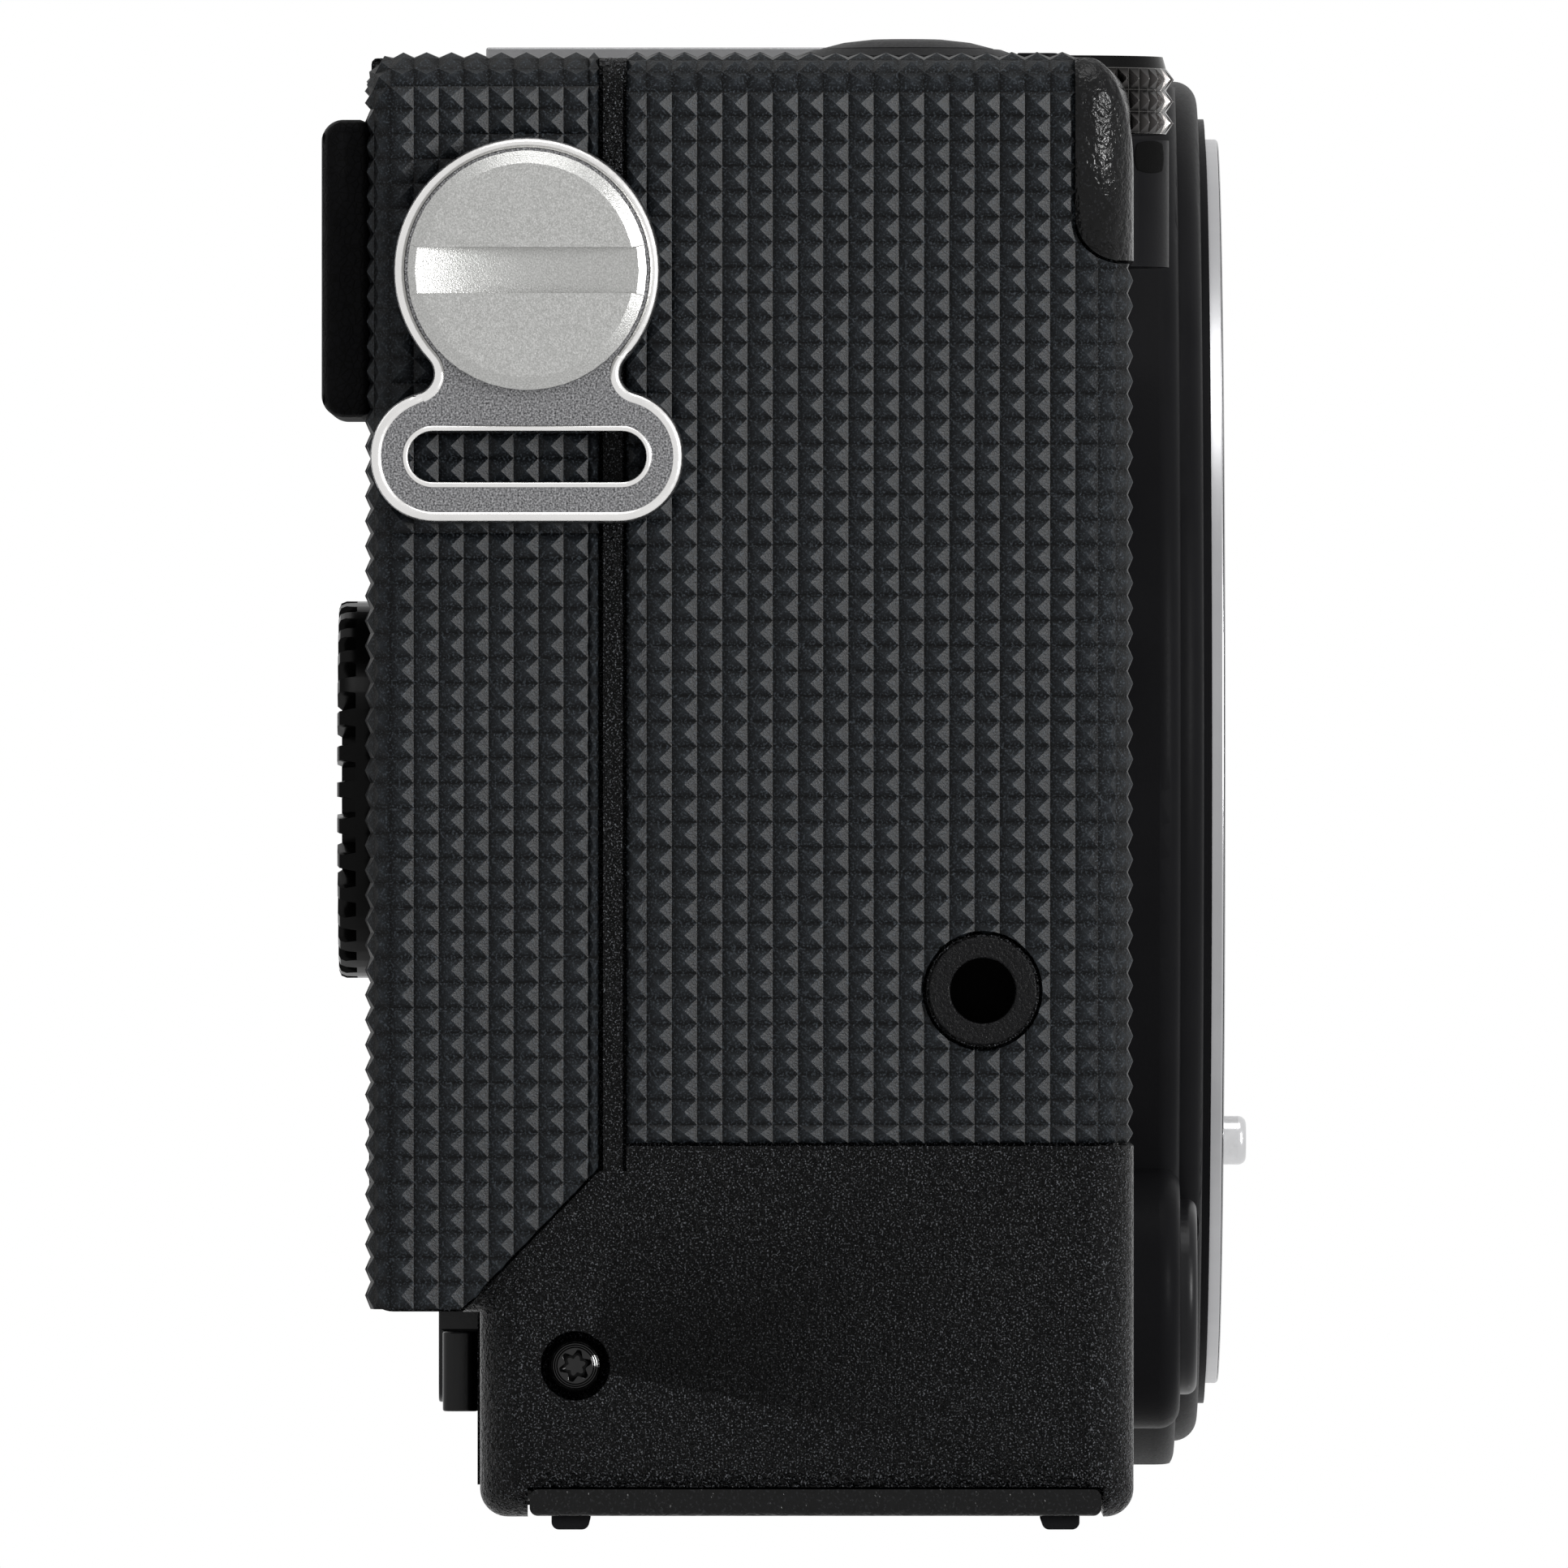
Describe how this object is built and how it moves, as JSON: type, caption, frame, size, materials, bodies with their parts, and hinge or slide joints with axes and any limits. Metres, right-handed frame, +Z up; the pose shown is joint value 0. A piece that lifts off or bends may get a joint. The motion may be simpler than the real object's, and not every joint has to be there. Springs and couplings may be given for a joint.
{
  "type": "mirrorless camera",
  "caption": "Compact mirrorless camera body with lens flange, tilting monitor, command dials, textured grip skins, coin-lock strap lugs and battery door.",
  "frame": {"origin": "middle of the outer box, on the surface that the feet stand on", "axes": "+Z up, lens flange faces -Y, grip end at -X (viewer's right hand)"},
  "size_m": [0.1178, 0.043, 0.0696],
  "materials": {
    "shell_paint": "coarse wrinkle black",
    "cover_paint": "fine wrinkle black",
    "skin_rubber": "pyramid relief",
    "rest_rubber": "leather grain",
    "flange_steel": "turned",
    "lug_steel": "bead blasted",
    "coin_steel": "satin",
    "pin_steel": "polished",
    "screw_black": "gloss black oxide",
    "screw_steel": "turned",
    "control_black": "gloss",
    "button_satin": "satin",
    "dial_metal": "gunmetal anodised",
    "collar_chrome": "dark chrome",
    "socket_metal": "blasted black",
    "monitor_case": "satin",
    "monitor_glass": "glass-like gloss",
    "hinge_steel": "satin",
    "inner_black": "matte",
    "chassis_metal": "cast",
    "blade_metal": "matte",
    "glass_clear": "coated",
    "sensor_face": "iridescent",
    "board_green": "solder mask",
    "battery_grey": "matte",
    "card_blue": "matte",
    "gold_pins": "gold plated",
    "connector_shell": "stamped",
    "foot_rubber": "matte",
    "lamp_glass": "tinted"
  },
  "bodies": {
    "camera": {"grip_end_frame": "shell_paint", "left_end_cover": "shell_paint", "front_cover": "shell_paint", "rear_cover": "shell_paint", "mount_tower": "cover_paint", "top_cover": "cover_paint", "bottom_cover": "cover_paint", "grip_skin_front": "skin_rubber", "grip_skin_rear": "skin_rubber", "left_skin": "skin_rubber", "thumb_rest": "rest_rubber", "side_socket_bush": "socket_metal", "case_screws": "screw_black", "mount_flange": "flange_steel", "mount_screws": "screw_steel", "contact_block": "inner_black", "contact_pins": "gold_pins", "light_baffle": "inner_black", "shutter_frame": "inner_black", "sensor_glass": "glass_clear", "image_sensor": "sensor_face", "sensor_bracket": "chassis_metal", "inner_chassis": "chassis_metal", "main_board": "board_green", "battery_tray": "inner_black", "battery": "battery_grey", "memory_card": "card_blue", "tripod_socket": "hinge_steel", "bottom_feet": "foot_rubber", "hot_shoe": "screw_steel", "hot_shoe_spring": "pin_steel", "port_connectors": "connector_shell", "lamp_window": "lamp_glass", "strap_studs": "lug_steel"},
    "strap_lug_right": {"strap_plate_right": "lug_steel"},
    "coin_lock_right": {"coin_screw_right": "coin_steel"},
    "strap_lug_left": {"strap_plate_left": "lug_steel"},
    "coin_lock_left": {"coin_screw_left": "coin_steel"},
    "shutter_release": {"shutter_button": "control_black"},
    "power_switch": {"power_lever": "collar_chrome"},
    "front_command_dial": {"front_dial": "dial_metal"},
    "mode_selector": {"mode_dial": "dial_metal"},
    "rear_wheel": {"rear_dial": "control_black"},
    "four_way_pad": {"direction_pad": "button_satin"},
    "ok_key": {"ok_button": "button_satin"},
    "menu_key": {"menu_button": "button_satin"},
    "playback_key": {"playback_button": "button_satin"},
    "movie_key": {"movie_button": "button_satin"},
    "release_key": {"lens_release_button": "button_satin"},
    "lock_pin": {"lens_lock_pin": "pin_steel"},
    "blade_lead": {"shutter_blade_1": "blade_metal"},
    "blade_middle": {"shutter_blade_2": "blade_metal"},
    "blade_last": {"shutter_blade_3": "blade_metal"},
    "monitor_bracket": {"monitor_arm": "hinge_steel"},
    "monitor": {"monitor_frame": "monitor_case", "monitor_window": "monitor_glass"},
    "door": {"battery_door": "cover_paint", "door_feet": "foot_rubber"},
    "door_catch": {"battery_door_latch": "button_satin"},
    "port_flap": {"port_door": "skin_rubber"}
  },
  "joints": [
    {"name": "strap_swing_right", "type": "hinge", "parent": "camera", "child": "strap_lug_right", "pos_m": [-0.0563, 0.01205, 0.0579], "axis": [1, 0, 0], "range_deg": [-30, 30]},
    {"name": "coin_turn_right", "type": "hinge", "parent": "camera", "child": "coin_lock_right", "pos_m": [-0.0583, 0.01205, 0.0579], "axis": [-1, 0, 0], "range_deg": [0, 90]},
    {"name": "strap_swing_left", "type": "hinge", "parent": "camera", "child": "strap_lug_left", "pos_m": [0.0563, 0.0065, 0.0579], "axis": [1, 0, 0], "range_deg": [-30, 30]},
    {"name": "coin_turn_left", "type": "hinge", "parent": "camera", "child": "coin_lock_left", "pos_m": [0.0583, 0.0065, 0.0579], "axis": [1, 0, 0], "range_deg": [0, 90]},
    {"name": "shutter_press", "type": "slide", "parent": "camera", "child": "shutter_release", "axis": [0, 0, -1], "range_m": [0, 0.0008], "stiffness_N_per_m": 500},
    {"name": "power_turn", "type": "hinge", "parent": "camera", "child": "power_switch", "pos_m": [-0.044, -0.00545, 0.06775], "axis": [0, 0, 1], "range_deg": [0, 30]},
    {"name": "front_dial_turn", "type": "hinge", "parent": "camera", "child": "front_command_dial", "pos_m": [-0.034, -0.0127, 0.0646], "axis": [0, 0, 1], "continuous": true},
    {"name": "mode_dial_turn", "type": "hinge", "parent": "camera", "child": "mode_selector", "pos_m": [0.034, 0.001, 0.06775], "axis": [0, 0, 1], "continuous": true},
    {"name": "rear_dial_turn", "type": "hinge", "parent": "camera", "child": "rear_wheel", "pos_m": [-0.044, 0.02085, 0.03405], "axis": [0, 1, 0], "continuous": true},
    {"name": "pad_press", "type": "slide", "parent": "camera", "child": "four_way_pad", "axis": [0, -1, 0], "range_m": [0, 0.0003], "stiffness_N_per_m": 500},
    {"name": "ok_press", "type": "slide", "parent": "camera", "child": "ok_key", "axis": [0, -1, 0], "range_m": [0, 0.0003], "stiffness_N_per_m": 500},
    {"name": "menu_press", "type": "slide", "parent": "camera", "child": "menu_key", "axis": [0, -1, 0], "range_m": [0, 0.0003], "stiffness_N_per_m": 500},
    {"name": "playback_press", "type": "slide", "parent": "camera", "child": "playback_key", "axis": [0, -1, 0], "range_m": [0, 0.0003], "stiffness_N_per_m": 500},
    {"name": "movie_press", "type": "slide", "parent": "camera", "child": "movie_key", "axis": [0, 0, -1], "range_m": [0, 0.0003], "stiffness_N_per_m": 500},
    {"name": "release_press", "type": "slide", "parent": "camera", "child": "release_key", "axis": [0, 1, 0], "range_m": [0, 0.0015], "stiffness_N_per_m": 500},
    {"name": "lock_pin_draw", "type": "slide", "parent": "camera", "child": "lock_pin", "axis": [0, 1, 0], "range_m": [0, 0.00108]},
    {"name": "blade_lead_rise", "type": "slide", "parent": "camera", "child": "blade_lead", "axis": [0, 0, 1], "range_m": [0, 0.018]},
    {"name": "blade_middle_rise", "type": "slide", "parent": "camera", "child": "blade_middle", "axis": [0, 0, 1], "range_m": [0, 0.0121]},
    {"name": "blade_last_rise", "type": "slide", "parent": "camera", "child": "blade_last", "axis": [0, 0, 1], "range_m": [0, 0.0061]},
    {"name": "bracket_swing", "type": "hinge", "parent": "camera", "child": "monitor_bracket", "pos_m": [0.006, 0.016, 0.0573], "axis": [1, 0, 0], "range_deg": [0, 80]},
    {"name": "monitor_tilt", "type": "hinge", "parent": "monitor_bracket", "child": "monitor", "pos_m": [0.006, 0.0152, 0.0063], "axis": [-1, 0, 0], "range_deg": [0, 45]},
    {"name": "door_swing", "type": "hinge", "parent": "camera", "child": "door", "pos_m": [-0.03025, -0.0012, 0.00126], "axis": [0, -1, 0], "range_deg": [0, 85]},
    {"name": "catch_slide", "type": "slide", "parent": "door", "child": "door_catch", "axis": [1, 0, 0], "range_m": [0, 0.002]},
    {"name": "port_swing", "type": "hinge", "parent": "camera", "child": "port_flap", "pos_m": [0.05545, 0.00535, 0.027], "axis": [0, 0, 1], "range_deg": [0, 95]}
  ],
  "couplings": [
    {"joint": "lock_pin_draw", "follows": "release_press", "ratio": 0.71},
    {"joint": "blade_middle_rise", "follows": "blade_lead_rise", "ratio": 0.6667},
    {"joint": "blade_last_rise", "follows": "blade_lead_rise", "ratio": 0.3333}
  ]
}
